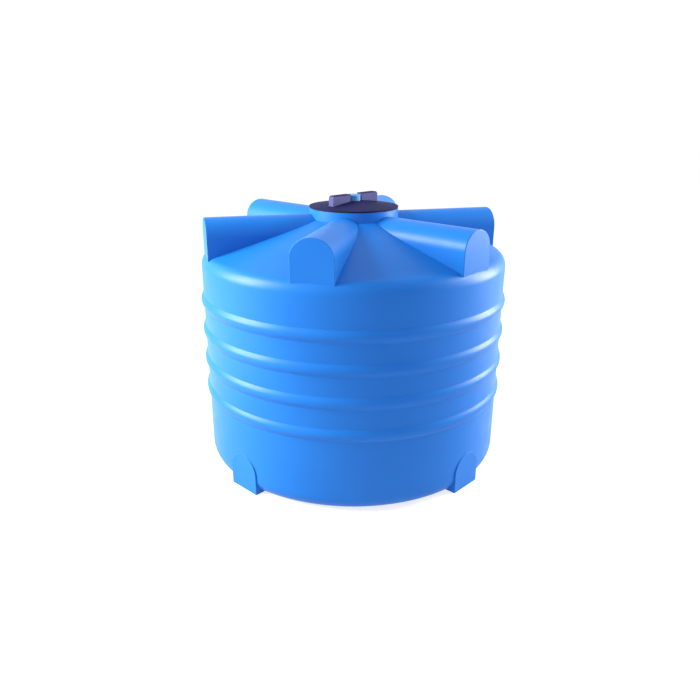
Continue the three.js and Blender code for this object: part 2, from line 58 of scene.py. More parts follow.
BAND_R = wall_high.x
WALL_R = BAND_R - 10 * MM
WALL_THICK = 5 * MM
BASE_FILLET = 60 * MM
BAND_HEIGHTS = [z * MM for z in (308, 428, 548, 668)]
BAND_HALF_FOOT = 25 * MM
BAND_FLANK_POWER = 0.68  # 1 would make a band a plain sine wave, less gives a fuller crest and steeper feet
SHOULDER_Z = 802 * MM
SHOULDER_FILLET = 50 * MM
ROOF_SLOPE = math.radians(17)
ROOF_INNER_R = 160 * MM

VAULT_COUNT = 6
VAULT_FIRST_ANGLE = 30  # degrees from -Y towards +X
VAULT_HALF_WIDTH = 77 * MM
VAULT_ROOT = 60 * MM  # distances from the axis
VAULT_END = 583 * MM
VAULT_CROWN_Z = 988 * MM
VAULT_ARCH_RISE = 70 * MM
VAULT_EDGE = 2.5 * MM

PAD_ANGLES = (0, 90, 180, 270)
PAD_HALF_WIDTH = 71 * MM
PAD_FACE = 601 * MM
PAD_CROWN_Z = 145 * MM
PAD_DEPTH = 70 * MM
PAD_EDGE = 2 * MM

NECK_R = neck_high.x
NECK_BORE_R = NECK_R - 6 * MM
NECK_TOP = neck_high.z
NECK_BOTTOM = neck_low.z

# The lid's quick thread, the same helix in the neck and on the lid's skirt
THREAD_STARTS = 3
THREAD_LEAD = 36 * MM
THREAD_SWEEP = 140  # degrees that each ridge runs
THREAD_RUN_OUT = 14  # degrees over which a ridge grows or fades
THREAD_ROOT_HEIGHT = 5.4 * MM
THREAD_CREST_HEIGHT = 3 * MM
THREAD_CLEARANCE = 1.5 * MM
THREAD_EMBED = 2 * MM
THREAD_STEPS = 56
SKIRT_R = 162 * MM
SKIRT_THICK = 4 * MM
SKIRT_BOTTOM = lid_low.z
LID_RIDGE_TOP = 996 * MM

LID_R = lid_high.x
LID_RIM = 3 * MM
LID_APEX_Z = 1036 * MM
LID_THICK = 4 * MM
FLANGE_BOTTOM = gasket_high.z + GAP
LID_RIM_TOP = FLANGE_BOTTOM + LID_RIM
WING_INNER = 31 * MM
WING_OUTER = lid_high.y - 49 * MM
WING_HALF_THICK = 13 * MM
WING_TOP_Z = lid_high.z
WING_CORNER_R = 12 * MM
WING_EDGE = 1.6 * MM
GROOVE_COUNT = 6
GROOVE_HALF_WIDTH = 3 * MM
GROOVE_DEPTH = 1 * MM
CAP_R = cap_high.x
CAP_SPIGOT_R = 14 * MM
CAP_CHAMFER = 3 * MM

OUTLET_Z = 66 * MM
OUTLET_TUBE_R = 18 * MM
OUTLET_FLANGE_R = 37 * MM
PIPE_THREAD_R = 16.6 * MM
PIPE_PITCH = 2.3 * MM
CONNECTOR_BORE_R = 13.5 * MM
WATERWAY_R = 12.5 * MM
VALVE_CENTRE = 56 * MM  # from the pad's face to the ball's centre
BALL_R = 17 * MM
STEM_R = 6 * MM

# Facets round the turned shapes
TANK_STEPS = 256
CAVITY_STEPS = 96
LID_STEPS = 160
CONNECTOR_STEPS = 96
FITTING_STEPS = 72


# ---- Mesh helpers ----

def mesh_object(name, points, faces):
    mesh = bpy.data.meshes.new(name)
    mesh.from_pydata(points, [], faces)
    mesh.validate()
    obj = bpy.data.objects.new(name, mesh)
    bpy.context.scene.collection.objects.link(obj)
    return obj


def arc(centre_r, centre_z, radius, start, end, steps):
    """Points of an arc in the radius-height plane, angles in degrees."""
    angles = [math.radians(start + (end - start) * i / steps) for i in range(steps + 1)]
    return [(centre_r + radius * math.cos(a), centre_z + radius * math.sin(a)) for a in angles]


MOST_CUT = 0.45  # the share of a side that one rounded corner may take


def softened(points, radius, closed=False, steps=3):
    """An outline with its corners rounded; a corner on the axis, or an open end, stays as it is."""
    result = []
    count = len(points)
    for i, point in enumerate(points):
        here = Vector(point)
        at_end = not closed and i in (0, count - 1)
        if at_end or here.x == 0:
            result.append(point)
            continue
        before = Vector(points[i - 1]) - here
        after = Vector(points[(i + 1) % count]) - here
        cut = min(radius, MOST_CUT * before.length, MOST_CUT * after.length)
        start = here + before.normalized() * cut
        end = here + after.normalized() * cut
        for k in range(steps + 1):
            t = k / steps
            place = start * (1 - t) ** 2 + here * (2 * t * (1 - t)) + end * t ** 2
            result.append((place.x, place.y))
    return result


def turned(name, profile, steps=FITTING_STEPS):
    """A closed solid of revolution about +Z. A profile that touches the axis starts and ends on it;
    any other profile closes on itself. Its points run anticlockwise in the radius-height plane."""
    on_axis = profile[0][0] == 0
    points, rings = [], []
    for r, z in profile:
        if r == 0:
            rings.append([len(points)])
            points.append((0, 0, z))
            continue
        rings.append(list(range(len(points), len(points) + steps)))
        for k in range(steps):
            a = 2 * math.pi * k / steps
            points.append((r * math.cos(a), r * math.sin(a), z))
    pairs = list(zip(rings, rings[1:]))
    if not on_axis:
        pairs.append((rings[-1], rings[0]))
    faces = []
    for low, high in pairs:
        for k in range(steps):
            n = (k + 1) % steps
            if len(low) == 1:
                faces.append((low[0], high[n], high[k]))
            elif len(high) == 1:
                faces.append((low[k], low[n], high[0]))
            else:
                faces.append((low[k], low[n], high[n], high[k]))
    return mesh_object(name, points, faces)


def disc(radius, low, high, steps=FITTING_STEPS):
    return turned("disc", [(0, low), (radius, low), (radius, high), (0, high)], steps)


def loft(name, sections):
    """A closed solid through outlines with the same number of points, capped at both ends."""
    count = len(sections[0])
    points = [p for section in sections for p in section]
    faces = [tuple(reversed(range(count)))]
    for i in range(len(sections) - 1):
        for k in range(count):
            n = (k + 1) % count
            a, b = i * count, (i + 1) * count
            faces.append((a + k, a + n, b + n, b + k))
    last = (len(sections) - 1) * count
    faces.append(tuple(range(last, last + count)))
    obj = mesh_object(name, points, faces)
    outward(obj)
    return obj


def prism(name, outline, low, high):
    """An outline in X and Y, extruded in Z."""
    return loft(name, [[(x, y, z) for x, y in outline] for z in (low, high)])


def block(name, low, high):
    corners = [(low[0], low[1]), (high[0], low[1]), (high[0], high[1]), (low[0], high[1])]
    return prism(name, corners, low[2], high[2])


def outward(obj):
    work = bmesh.new()
    work.from_mesh(obj.data)
    bmesh.ops.recalc_face_normals(work, faces=work.faces)
    work.to_mesh(obj.data)
    work.free()


def welded(obj):
    """Joins points that lie within two thousandths of a millimetre, and removes faces with no area."""
    reach = 0.002 * MM
    work = bmesh.new()
    work.from_mesh(obj.data)
    bmesh.ops.remove_doubles(work, verts=work.verts, dist=reach)
    bmesh.ops.dissolve_degenerate(work, edges=work.edges, dist=reach)
    work.to_mesh(obj.data)
    work.free()


def combine(obj, others, operation):
    """Joins, cuts or intersects obj with the other solids, and removes them."""
    for other in others:
        step = obj.modifiers.new("combine", "BOOLEAN")
        step.operation = operation
        step.solver = "MANIFOLD"
        step.object = other
    bake_modifiers(obj)
    for other in others:
        bpy.data.objects.remove(other)
    return obj


def bake_modifiers(obj):
    graph = bpy.context.evaluated_depsgraph_get()
    mesh = bpy.data.meshes.new_from_object(obj.evaluated_get(graph))
    obj.modifiers.clear()
    obj.data = mesh
    mesh.name = obj.name


def rounded_edges(obj, width, segments=2, angle=35):
    """Rounds every edge where faces meet at more than the given degrees."""
    step = obj.modifiers.new("rounded", "BEVEL")
    step.width = width
    step.segments = segments
    step.limit_method = "ANGLE"
    step.angle_limit = math.radians(angle)
    bake_modifiers(obj)
    return obj


def moved(obj, matrix):
    obj.data.transform(matrix)
    return obj


LEAST_GROWN = 0.02  # the share of its depth that a ridge keeps at its ends


def helix(name, outline, lead, top, start, sweep, steps, fade=0):
    """An outline of (radius, height) points carried down a helix from height top and angle start, in degrees.
    Over the first and last `fade` degrees it shrinks towards its root, the radius of its first point."""
    root = outline[0][0]
    sections = []
    for i in range(steps + 1):
        back = sweep * i / steps
        grown = min(1, back / fade, (sweep - back) / fade) if fade else 1
        grown = max(grown, LEAST_GROWN)
        a = math.radians(start - back)
        z = top - lead * back / 360
        section = []
        for r, h in outline:
            distance = root + (r - root) * grown
            section.append((distance * math.cos(a), distance * math.sin(a), z + h))
        sections.append(section)
    return loft(name, sections)


def shade(obj, angle=28):
    """Smooth shading with sharp edges where faces meet at more than the given degrees."""
    obj.data.shade_smooth()
    obj.data.set_sharp_from_angle(angle=math.radians(angle))
    step = obj.modifiers.new("even_normals", "WEIGHTED_NORMAL")
    step.keep_sharp = True


def finished(obj, body, nodes, slot, angle=28, surface=None):
    """Cleans and shades a piece, hangs it on its body and lets it stand for its CAD nodes.
    Its finish is the one named after its slot, unless surface names another."""
    welded(obj)
    shade(obj, angle)
    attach(obj, body)
    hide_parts(*nodes)
    obj.data.materials.clear()
    obj.data.materials.append(finishes[surface or slot])


# ---- Tank: one hollow moulding ----

def band(z, inset, steps):
    """One hoop band's outline: concave feet and a domed crest."""
    flank = []
    for i in range(steps + 1):
        t = i / steps
        rise = math.sin(math.pi / 2 * t ** BAND_FLANK_POWER) ** 2
        flank.append((WALL_R - inset + (BAND_R - WALL_R) * rise, BAND_HALF_FOOT * (1 - t)))
    lower = [(r, z - h) for r, h in flank]
    upper = [(r, z + h) for r, h in reversed(flank[:-1])]
    return lower + upper


def tank_profile(inset, fine):
    """The moulding's outline from the middle of the base to inside the neck, moved in by inset."""
    wall_r = WALL_R - inset
    base = arc(WALL_R - BASE_FILLET, BASE_FILLET, BASE_FILLET - inset, -90, 0, 12 if fine else 5)
    bands = [p for z in BAND_HEIGHTS for p in band(z, inset, 14 if fine else 4)]
    shoulder_r = SHOULDER_FILLET - inset
    end = 90 - math.degrees(ROOF_SLOPE)
    shoulder = arc(wall_r - shoulder_r, SHOULDER_Z, shoulder_r, 0, end, 14 if fine else 5)
    eaves_r, eaves_z = shoulder[-1]
    steps = 12 if fine else 2
    roof = []
    for i in range(1, steps + 1):
        r = eaves_r + (ROOF_INNER_R - eaves_r) * i / steps
        roof.append((r, eaves_z + (eaves_r - r) * math.tan(ROOF_SLOPE)))
    return [(0, inset), *base, *bands, *shoulder, *roof, (0, roof[-1][1])]


SIDE_STEPS = 5


def arch_outline(half_width, low, crown, rise, inset, steps=22):
    """An upright arch-topped outline, as (across, height) points."""
    half, top = half_width - inset, crown - inset
    spring = crown - rise
    points = [(-half, low), (half, low)]
    for i in range(1, SIDE_STEPS):
        points.append((half, low + (spring - low) * i / SIDE_STEPS))
    for i in range(steps + 1):
        a = math.pi * i / steps
        points.append((half * math.cos(a), spring + (top - spring) * math.sin(a)))
    for i in range(SIDE_STEPS - 1, 0, -1):
        points.append((-half, low + (spring - low) * i / SIDE_STEPS))
    return points


BLOCK_STEPS = 10
EDGE_STEPS = 4


def arched_block(name, half_width, low, crown, rise, start, end, edge, angle, inset=0):
    """An arched block lying along a radius, with its far end's edge rounded; angle is from -Y towards +X."""
    turn = Matrix.Rotation(math.radians(angle), 4, "Z")
    edge_start = end - inset - edge
    stations = [(start + (edge_start - start) * i / BLOCK_STEPS, 0) for i in range(BLOCK_STEPS + 1)]
    for i in range(1, EDGE_STEPS + 1):
        a = math.radians(90 * i / EDGE_STEPS)
        stations.append((edge_start + edge * math.sin(a), edge * (1 - math.cos(a))))
    sections = []
    for distance, shrink in stations:
        outline = arch_outline(half_width, low, crown, rise, inset + shrink)
        sections.append([turn @ Vector((across, -distance, z)) for across, z in outline])
    return loft(name, sections)


def vaults(inset):
    """The roof's arched vaults; inside the moulding they stop at the neck."""
    start = NECK_R + inset if inset else VAULT_ROOT
    low = SHOULDER_Z - SHOULDER_FILLET
    return [
        arched_block(
            f"vault_{i}",
            VAULT_HALF_WIDTH,
            low,
            VAULT_CROWN_Z,
            VAULT_ARCH_RISE,
            start,
            VAULT_END,
            VAULT_EDGE,
            VAULT_FIRST_ANGLE + 360 / VAULT_COUNT * i,
            inset,
        )
        for i in range(VAULT_COUNT)
    ]


def pads(inset):
    """The arched flats at the wall's foot that the fittings bolt to."""
    return [
        arched_block(
            f"pad_{i}",
            PAD_HALF_WIDTH,
            inset,
            PAD_CROWN_Z,
            PAD_HALF_WIDTH,
            PAD_FACE - PAD_DEPTH,
            PAD_FACE,
            PAD_EDGE,
            angle,
            inset,
        )
        for i, angle in enumerate(PAD_ANGLES)
    ]


def thread_ridges(root_r, crest_r, top):
    """The three helical ridges of the lid's quick thread."""
    root = THREAD_ROOT_HEIGHT / 2
    crest = THREAD_CREST_HEIGHT / 2
    section = [(root_r, -root), (crest_r, -crest), (crest_r, crest), (root_r, root)]
    starts = [360 / THREAD_STARTS * i for i in range(THREAD_STARTS)]
    return [
        helix("ridge", section, THREAD_LEAD, top, start, THREAD_SWEEP, THREAD_STEPS, THREAD_RUN_OUT)
        for start in starts
    ]


def tank_moulding():
    body = turned("tank_moulding", tank_profile(0, True), TANK_STEPS)
    combine(body, vaults(0) + pads(0), "UNION")
    cavity = turned("cavity", tank_profile(WALL_THICK, False), CAVITY_STEPS)
    combine(cavity, vaults(WALL_THICK) + pads(WALL_THICK), "UNION")
    combine(body, [cavity, disc(NECK_R - 1 * MM, NECK_BOTTOM, NECK_TOP, TANK_STEPS)], "DIFFERENCE")
    neck = turned(
        "neck",
        softened(
            [(NECK_BORE_R, NECK_BOTTOM), (NECK_R, NECK_BOTTOM), (NECK_R, NECK_TOP), (NECK_BORE_R, NECK_TOP)],
            1.2 * MM,
            closed=True,
        ),
        TANK_STEPS,
    )
    ridge_top = LID_RIDGE_TOP + THREAD_LEAD / THREAD_STARTS / 2
    ridges = thread_ridges(NECK_BORE_R + THREAD_EMBED, SKIRT_R + THREAD_CLEARANCE, ridge_top)
    combine(body, [neck, *ridges], "UNION")
    hole = outlet_place(disc(OUTLET_TUBE_R + 1 * MM, -20 * MM, 10 * MM))
    combine(body, [hole], "DIFFERENCE")
    finished(body, "tank", ["tank_wall", "tank_roof", "tank_neck"], "tank_blue")


# ---- Lid, its gasket and the breather cap ----

def cover_height(r):
    """The height of the lid's cover, a shallow cone, at a distance from the axis."""
    return LID_APEX_Z - (LID_APEX_Z - LID_RIM_TOP) * r / LID_R


def grip_wing(degrees):
    """A tall grip with rounded edges, its outer corner rounded more, its foot inside the cover."""
    outline = [
        (WING_INNER, cover_height(WING_INNER) - LID_THICK / 2),
        (WING_OUTER, cover_height(WING_OUTER) - LID_THICK / 2),
        *arc(WING_OUTER - WING_CORNER_R, WING_TOP_Z - WING_CORNER_R, WING_CORNER_R, 0, 90, 10),
        (WING_INNER, WING_TOP_Z),
    ]
    sections = [[(r, side, z) for r, z in outline] for side in (-WING_HALF_THICK, WING_HALF_THICK)]
    wing = rounded_edges(loft("wing", sections), WING_EDGE, segments=3, angle=30)
    return moved(wing, Matrix.Rotation(math.radians(degrees), 4, "Z"))


def lid():
    inner_r = SKIRT_R - SKIRT_THICK
    underside = [(0, LID_APEX_Z - LID_THICK), (inner_r, LID_RIM_TOP - LID_THICK), (inner_r, SKIRT_BOTTOM)]
    flange = [(SKIRT_R, SKIRT_BOTTOM), (SKIRT_R, FLANGE_BOTTOM), (LID_R, FLANGE_BOTTOM), (LID_R, LID_RIM_TOP)]
    cover = [(r, cover_height(r)) for r in (LID_R * 0.97, LID_R / 2, LID_R / 6)]
    profile = softened(underside + flange, 1 * MM) + cover + [(0, LID_APEX_Z)]
    body = turned("screw_lid", profile, LID_STEPS)
    ridges = thread_ridges(SKIRT_R - THREAD_EMBED, NECK_BORE_R - THREAD_CLEARANCE, LID_RIDGE_TOP)
    combine(body, [grip_wing(90), grip_wing(270), *ridges], "UNION")
    cuts = [disc(CAP_SPIGOT_R + GAP, SKIRT_BOTTOM, LID_APEX_Z + 1 * MM)]
    for i in range(GROOVE_COUNT):
        low = (SKIRT_R - 0.5 * MM, -GROOVE_HALF_WIDTH, FLANGE_BOTTOM - 1 * MM)
        high = (LID_R + 1 * MM, GROOVE_HALF_WIDTH, FLANGE_BOTTOM + GROOVE_DEPTH)
        turn = Matrix.Rotation(math.radians(360 / GROOVE_COUNT * i), 4, "Z")
        cuts.append(moved(block("groove", low, high), turn))
    combine(body, cuts, "DIFFERENCE")
    finished(body, "screw_lid", ["lid"], "lid_purple")


def breather_cap():
    foot = cover_height(CAP_SPIGOT_R) + GAP
    rim = cover_height(CAP_R) + GAP
    profile = [
        (0, cap_low.z),
        (CAP_SPIGOT_R, cap_low.z),
        (CAP_SPIGOT_R, foot),
        (CAP_R, rim),
        (CAP_R, cap_high.z - CAP_CHAMFER),
        (CAP_R - CAP_CHAMFER, cap_high.z),
        (0, cap_high.z),
    ]
    cap = turned("push_in_breather", softened(profile, 1 * MM), FITTING_STEPS)
    # The cap keeps the tank's blue slot but gets a paler copy of that blue: painted light, for the light
    # falling on the cap.
    finished(cap, "screw_lid", ["breather_cap"], "tank_blue", surface="cap_painted_lit_blue")


def lid_gasket():
    inner_r = SKIRT_R + 1 * MM
    outer_r = gasket_high.x
    low, high = gasket_low.z, gasket_high.z
    profile = [(inner_r, low), (outer_r, low), (outer_r, high), (inner_r, high)]
    seal = turned("lid_seal_ring", softened(profile, 1.2 * MM, closed=True), LID_STEPS)
    finished(seal, "lid_seal", ["lid_gasket"], "black_rubber")


# ---- Rear outlet: made about +Z, which then points out of the rear pad, with -Y up ----

OUTLET_TURN = Matrix.Translation((0, PAD_FACE, OUTLET_Z)) @ Matrix.Rotation(math.radians(-90), 4, "X")
VALVE_PLACE = Matrix.Translation((0, PAD_FACE + VALVE_CENTRE, OUTLET_Z))


def outlet_place(obj):
    return moved(obj, OUTLET_TURN)


def upright(obj):
    """For pieces about the valve's stem, made about +Z from the valve's centre."""
    return moved(obj, VALVE_PLACE)


def upright_in_pipe(obj):
    """The same, for a shape that is joined to one made along the pipe."""
    return moved(obj, OUTLET_TURN.inverted() @ VALVE_PLACE)


def ring(inner_r, outer_r, low, high, edge=0.5 * MM, steps=FITTING_STEPS):
    section = [(inner_r, low), (outer_r, low), (outer_r, high), (inner_r, high)]
    return turned("ring", softened(section, edge, closed=True), steps)


def hexagon(corner_r, low, high):
    """A hexagonal bar with the corners of both ends turned down, as nuts are."""
    flat_r = corner_r * math.cos(math.radians(30))
    angles = [math.radians(90 + 60 * k) for k in range(6)]
    corners = [(corner_r * math.cos(a), corner_r * math.sin(a)) for a in angles]
    bar = prism("hexagon", corners, low, high)
    drop = (corner_r - flat_r) * 0.5
    turned_down = turned(
        "turned_down",
        [(0, low), (flat_r, low), (corner_r, low + drop), (corner_r, high - drop), (flat_r, high), (0, high)],
        FITTING_STEPS,
    )
    return combine(bar, [turned_down], "INTERSECT")


def bore(radius, low, high, countersink=0.6 * MM):
    """A hole's cutter from low to high, with both rims opened out a little."""
    past = 1 * MM
    profile = [
        (0, low - past),
        (radius + countersink + past, low - past),
        (radius, low + countersink),
        (radius, high - countersink),
        (radius + countersink + past, high + past),
        (0, high + past),
    ]
    return turned("bore", profile, FITTING_STEPS)


def nut(corner_r, bore_r, low, high):
    return combine(hexagon(corner_r, low, high), [bore(bore_r, low, high)], "DIFFERENCE")


# A pipe thread's shape, in pitches
CORE_DEPTH = 0.55  # from the crest down to the core that the ridge is joined to
RIDGE_DEPTH = 0.6
RIDGE_HALF_FOOT = 0.46
RIDGE_HALF_CREST = 0.1
STEPS_PER_TURN = 56
PIPE_RUN_OUT = 40  # degrees over which the ridge grows or fades


def core_radius(crest_r, pitch):
    return crest_r - CORE_DEPTH * pitch


def pipe_thread(crest_r, low, high, pitch):
    """A helical ridge to join to a core of core_radius."""
    root_r = crest_r - RIDGE_DEPTH * pitch
    foot = RIDGE_HALF_FOOT * pitch
    crest = RIDGE_HALF_CREST * pitch
    section = [(root_r, -foot), (crest_r, -crest), (crest_r, crest), (root_r, foot)]
    turns = (high - low - pitch) / pitch
    steps = round(STEPS_PER_TURN * turns)
    return helix("pipe_thread", section, pitch, high - pitch / 2, 0, 360 * turns, steps, PIPE_RUN_OUT)


SEAL_THICK = 3 * MM
FLANGE_INNER = SEAL_THICK + 2 * GAP
FLANGE_OUTER = FLANGE_INNER + 8 * MM
CONNECTOR_INSIDE = 34 * MM
SOCKET_END = VALVE_CENTRE - BALL_R - 7 * MM
CONNECTOR_END = SOCKET_END - 1 * MM
WASHER_OUTER = -WALL_THICK - GAP
LOCKNUT_THICK = 14 * MM
TUBE_PITCH = 3 * MM
FLANGE_CHAMFER = 2 * MM
NOTCH_COUNT = 12
NOTCH_R = 3 * MM
NOTCH_STEPS = 24
NOTCH_PAST_RIM = 1.6 * MM  # from the flange's rim out to a notch's centre


def outlet_seals():
    inner_r, outer_r = OUTLET_TUBE_R + 1 * MM, OUTLET_FLANGE_R - 1 * MM
    outside = outlet_place(ring(inner_r, outer_r, GAP, GAP + SEAL_THICK))
    outside.name = "outlet_seal_outside"
    finished(outside, "tank", ["outlet_gasket"], "black_rubber")
    inside = outlet_place(ring(inner_r, outer_r, WASHER_OUTER - SEAL_THICK, WASHER_OUTER))
    inside.name = "outlet_seal_inside"
    finished(inside, "tank", ["outlet_washer"], "black_rubber")


def tank_connector():
    """The threaded tube through the wall, with its flange and the pipe thread that the valve screws on."""
    core_r = core_radius(OUTLET_TUBE_R, TUBE_PITCH)
    pipe_core_r = core_radius(PIPE_THREAD_R, PIPE_PITCH)
    thread_low = -CONNECTOR_INSIDE + 1 * MM
    thread_high = -WALL_THICK - 1 * MM
    profile = [
        (CONNECTOR_BORE_R, -CONNECTOR_INSIDE),
        (core_r, -CONNECTOR_INSIDE),
        (core_r, thread_high),
        (OUTLET_TUBE_R, thread_high + 1 * MM),
        (OUTLET_TUBE_R, FLANGE_INNER),
        (OUTLET_FLANGE_R, FLANGE_INNER),
        (OUTLET_FLANGE_R, FLANGE_OUTER - FLANGE_CHAMFER),
        (OUTLET_FLANGE_R - FLANGE_CHAMFER, FLANGE_OUTER),
        (pipe_core_r, FLANGE_OUTER),
        (pipe_core_r, CONNECTOR_END),
        (CONNECTOR_BORE_R, CONNECTOR_END),
    ]
    body = turned("tank_connector", softened(profile, 0.6 * MM, closed=True), CONNECTOR_STEPS)
    threads = [
        pipe_thread(OUTLET_TUBE_R, thread_low, thread_high, TUBE_PITCH),
        pipe_thread(PIPE_THREAD_R, FLANGE_OUTER + 0.6 * MM, CONNECTOR_END, PIPE_PITCH),
    ]
    combine(body, threads, "UNION")
    notches = []
    distance = OUTLET_FLANGE_R + NOTCH_PAST_RIM
    for k in range(NOTCH_COUNT):
        notch = disc(NOTCH_R, FLANGE_INNER - 1 * MM, FLANGE_OUTER + 1 * MM, NOTCH_STEPS)
        a = math.radians(360 / NOTCH_COUNT * (k + 0.5))
        notches.append(moved(notch, Matrix.Translation((distance * math.cos(a), distance * math.sin(a), 0))))
    combine(body, notches, "DIFFERENCE")
    finished(outlet_place(body), "tank", ["outlet_body"], "black_plastic")

    high = WASHER_OUTER - SEAL_THICK - GAP
    locknut = nut(OUTLET_FLANGE_R, OUTLET_TUBE_R + 2 * GAP, high - LOCKNUT_THICK, high)
    locknut.name = "connector_locknut"
    finished(outlet_place(locknut), "tank", ["outlet_locknut"], "black_plastic")


SOCKET_R = PIPE_THREAD_R + 2 * GAP
CHAMBER_R = BALL_R + 1 * MM
VALVE_R = 26 * MM
VALVE_INLET_R = 22 * MM
VALVE_OUTLET_R = 23 * MM
INLET_HEX_THICK = 13 * MM
BODY_LOW = FLANGE_OUTER + GAP
WIDE_FROM = VALVE_CENTRE - 16 * MM
WIDE_TO = VALVE_CENTRE + 14 * MM
TAPER_END = VALVE_CENTRE + 19 * MM
BODY_HIGH = VALVE_CENTRE + 25 * MM
BOSS_R = 12 * MM
BOSS_TOP = 34 * MM  # heights above the valve's axis
PACKING_R = 9 * MM
PACKING_FLOOR = 25 * MM
STEM_HOLE_R = STEM_R + 0.5 * MM


def valve_casting():
    profile = [
        (0, BODY_LOW),
        (VALVE_INLET_R, BODY_LOW),
        (VALVE_INLET_R, SOCKET_END),
        (VALVE_R, WIDE_FROM),
        (VALVE_R, WIDE_TO),
        (VALVE_OUTLET_R, TAPER_END),
        (VALVE_OUTLET_R, BODY_HIGH),
        (0, BODY_HIGH),
    ]
    body = turned("valve_casting", softened(profile, 2 * MM), FITTING_STEPS)
    boss = turned("boss", softened([(0, 0), (BOSS_R, 0), (BOSS_R, BOSS_TOP), (0, BOSS_TOP)], 0.8 * MM))
    inlet_hexagon = hexagon(VALVE_R, BODY_LOW, BODY_LOW + INLET_HEX_THICK)
    combine(body, [upright_in_pipe(boss), inlet_hexagon], "UNION")
    cuts = [
        disc(SOCKET_R, BODY_LOW - 1 * MM, SOCKET_END),
        disc(WATERWAY_R, SOCKET_END - 1 * MM, VALVE_CENTRE),
        disc(CHAMBER_R, VALVE_CENTRE - CHAMBER_R, BODY_HIGH + 1 * MM),
        upright_in_pipe(disc(STEM_HOLE_R, 0, BOSS_TOP + 1 * MM)),
        upright_in_pipe(disc(PACKING_R, PACKING_FLOOR, BOSS_TOP + 1 * MM)),
    ]
    combine(body, cuts, "DIFFERENCE")
    finished(outlet_place(body), "tank", ["valve_body"], "valve_brass")


SEAT_R = CHAMBER_R - GAP
SEAT_EDGE_INSET = 1.5 * MM  # from the chamber's wall to the wide end of a seat's cone
# Distances along the pipe from the ball's centre
SEAT_BACK = CHAMBER_R - GAP
SEAT_RIM = 8.5 * MM  # to where the outer face ends
SEAT_EDGE = 7.5 * MM  # to the wide end of the cone
SEAT_THROAT = 12.2 * MM  # to the small end of the cone


def valve_seats():
    """Two rings whose cones face the ball."""
    section = [
        (WATERWAY_R, -SEAT_BACK),
        (SEAT_R, -SEAT_BACK),
        (SEAT_R, -SEAT_RIM),
        (CHAMBER_R - SEAT_EDGE_INSET, -SEAT_EDGE),
        (WATERWAY_R, -SEAT_THROAT),
    ]
    for name, node, side in (("inlet_seat", "valve_seat_inlet", -1), ("outlet_seat", "valve_seat_outlet", 1)):
        points = [(r, VALVE_CENTRE - side * z) for r, z in section]
        if side > 0:
            points.reverse()
        seat = turned(name, points, FITTING_STEPS)
        finished(outlet_place(seat), "tank", [node], "white_seal")


END_HEX_R = 25 * MM
END_HEX_THICK = 8 * MM
END_INNER = VALVE_CENTRE + CHAMBER_R
END_FLANGE = BODY_HIGH + GAP
END_THREAD_LENGTH = 15 * MM
END_TIP = END_FLANGE + END_HEX_THICK + END_THREAD_LENGTH


def valve_tailpiece():
    core_r = core_radius(PIPE_THREAD_R, PIPE_PITCH)
    profile = [
        (0, END_INNER),
        (CHAMBER_R - GAP, END_INNER),
        (CHAMBER_R - GAP, END_FLANGE),
        (core_r, END_FLANGE + 1 * MM),
        (core_r, END_TIP),
        (0, END_TIP),
    ]
    body = turned("valve_tailpiece", softened(profile, 0.5 * MM), FITTING_STEPS)
    thread = pipe_thread(PIPE_THREAD_R, END_FLANGE + END_HEX_THICK, END_TIP - 0.6 * MM, PIPE_PITCH)
    combine(body, [thread, hexagon(END_HEX_R, END_FLANGE, END_FLANGE + END_HEX_THICK)], "UNION")
    combine(body, [bore(WATERWAY_R, END_INNER, END_TIP)], "DIFFERENCE")
    finished(outlet_place(body), "tank", ["valve_end"], "valve_brass")


SLOT_HALF_WIDTH = 2.3 * MM
SLOT_FLOOR = 11 * MM
TANG_HALF_WIDTH = 2 * MM
TANG_HALF_LENGTH = 5 * MM


def ball():
    """Closed, its bore lies across the pipe, along X."""
    profile = [(0, -BALL_R), *arc(0, 0, BALL_R, -90, 90, 36)[1:-1], (0, BALL_R)]
    body = turned("chromed_ball", profile, FITTING_STEPS)
    across = Matrix.Rotation(math.radians(90), 4, "Y")
    past = BALL_R + 1 * MM
    slot = block("slot", (-BALL_R, -SLOT_HALF_WIDTH, SLOT_FLOOR), (BALL_R, SLOT_HALF_WIDTH, past))
    combine(body, [moved(disc(WATERWAY_R - 1 * MM, -past, past), across), slot], "DIFFERENCE")
    finished(upright(body), "valve_handle", ["valve_ball"], "ball_chrome")


LEVER_LOW = 40 * MM  # heights above the valve's axis
LEVER_THICK = 3 * MM
STEM_TOP = 52 * MM
STEM_TIP_R = 4 * MM
STEM_PITCH = 0.9 * MM


def stem():
    tip_core = STEM_TIP_R - 0.5 * MM
    profile = [
        (0, BALL_R + GAP),
        (STEM_R, BALL_R + GAP),
        (STEM_R, LEVER_LOW - GAP),
        (tip_core, LEVER_LOW - GAP),
        (tip_core, STEM_TOP),
        (0, STEM_TOP),
    ]
    body = turned("threaded_stem", softened(profile, 0.4 * MM), FITTING_STEPS)
    tang = block(
        "tang",
        (-TANG_HALF_LENGTH, -TANG_HALF_WIDTH, SLOT_FLOOR + GAP),
        (TANG_HALF_LENGTH, TANG_HALF_WIDTH, BALL_R + 1 * MM),
    )
    combine(body, [tang, pipe_thread(STEM_TIP_R, LEVER_LOW, STEM_TOP - 0.3 * MM, STEM_PITCH)], "UNION")
    finished(upright(body), "valve_handle", ["valve_stem"], "valve_brass")


PACKING_THICK = 4 * MM
SEAL_TOP = PACKING_FLOOR + GAP + PACKING_THICK


